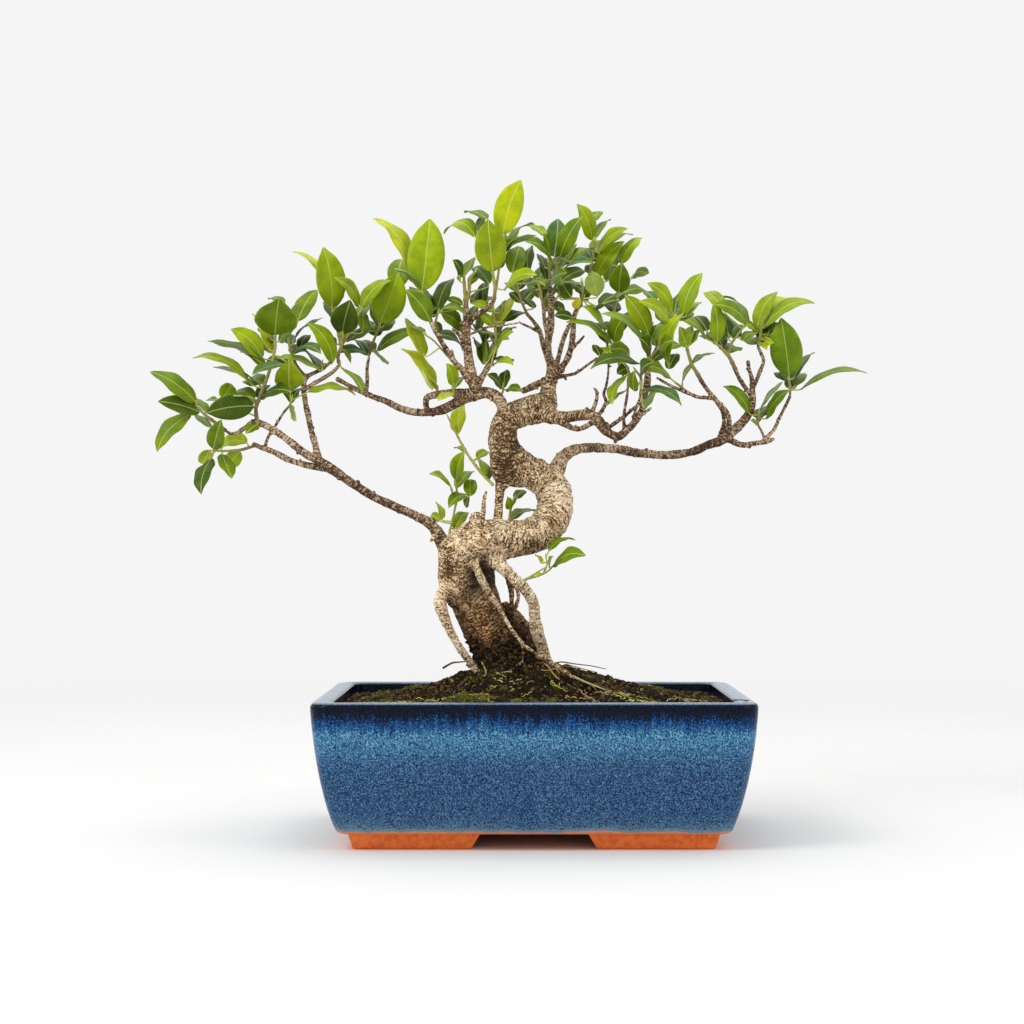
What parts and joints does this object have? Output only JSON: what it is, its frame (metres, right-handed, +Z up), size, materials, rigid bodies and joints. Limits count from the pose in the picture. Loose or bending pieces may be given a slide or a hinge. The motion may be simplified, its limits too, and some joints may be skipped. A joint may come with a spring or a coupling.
{
  "type": "bonsai tree in a pot",
  "caption": "small-leaved fig grown as a bonsai, with a looped S-bent trunk, aerial roots and leafy shoots, in a rectangular blue-glazed pot on low feet",
  "frame": {"origin": "middle of the whole outline from above, at the level the pot's feet rest on", "axes": "+Z up, +X along the pot's long side to the viewer's right, +Y from the front of the tree to its back"},
  "size_m": [0.533, 0.24, 0.4826],
  "materials": {
    "glaze_blue": "glossy mottled blue glaze over terracotta, dark at the rim; feet and foot ring bare terracotta",
    "soil": "dark granular bonsai soil",
    "moss": "living moss, soft and matt",
    "screen_mesh": "dark moulded mesh",
    "bark_pale": "pale ringed bark with dark specks",
    "bark_tan": "thin brown bark with pale specks",
    "root_bark": "smooth tan root bark",
    "leaf_deep": "living leaf, deep green and waxy",
    "leaf_green": "living leaf, mid green and waxy",
    "leaf_bright": "living leaf, bright green and waxy",
    "leaf_lime": "young living leaf, lime green and waxy"
  },
  "bodies": {
    "root": {"branch_apex": "bark_tan", "branch_low_left": "bark_tan", "branch_low_right": "bark_tan", "branch_mid_right": "bark_tan", "branch_upper_left": "bark_tan", "drainage_screen_left": "screen_mesh", "drainage_screen_right": "screen_mesh", "moss_back_right": "moss", "moss_front": "moss", "moss_front_left": "moss", "moss_front_right": "moss", "moss_left": "moss", "pot": "glaze_blue", "root_back": "root_bark", "root_bridge": "root_bark", "root_front": "root_bark", "root_left": "root_bark", "root_right": "root_bark", "shoot_apex_inner": "leaf_deep", "shoot_apex_left": "leaf_deep", "shoot_apex_right": "leaf_bright", "shoot_apex_round": "leaf_green", "shoot_apex_top": "leaf_deep", "shoot_back_left": "leaf_deep", "shoot_back_right": "leaf_deep", "shoot_centre_back": "leaf_deep", "shoot_centre_peak": "leaf_green", "shoot_centre_stub": "leaf_deep", "shoot_crook": "leaf_deep", "shoot_fan": "leaf_deep", "shoot_fan_back": "leaf_deep", "shoot_far_left": "leaf_green", "shoot_fore_arch": "leaf_green", "shoot_fore_high": "leaf_deep", "shoot_fore_low": "leaf_lime", "shoot_left_back": "leaf_deep", "shoot_left_crown": "leaf_deep", "shoot_left_drop": "leaf_bright", "shoot_left_inner": "leaf_deep", "shoot_left_top": "leaf_green", "shoot_left_twig": "leaf_bright", "shoot_loop_left": "leaf_bright", "shoot_loop_right": "leaf_bright", "shoot_low_left": "leaf_lime", "shoot_mid_left": "leaf_deep", "shoot_mid_right": "leaf_deep", "shoot_right_broad": "leaf_deep", "shoot_right_low": "leaf_green", "shoot_right_mid": "leaf_green", "shoot_right_spray": "leaf_green", "shoot_right_tip": "leaf_lime", "shoot_spur": "leaf_green", "shoot_yellow": "leaf_bright", "soil": "soil", "sprout_bridge": "leaf_bright", "sprout_low_left": "leaf_bright", "sprout_low_right": "leaf_bright", "sprout_trunk": "leaf_bright", "stem_centre": "bark_tan", "trunk": "bark_pale"}
  },
  "joints": []
}
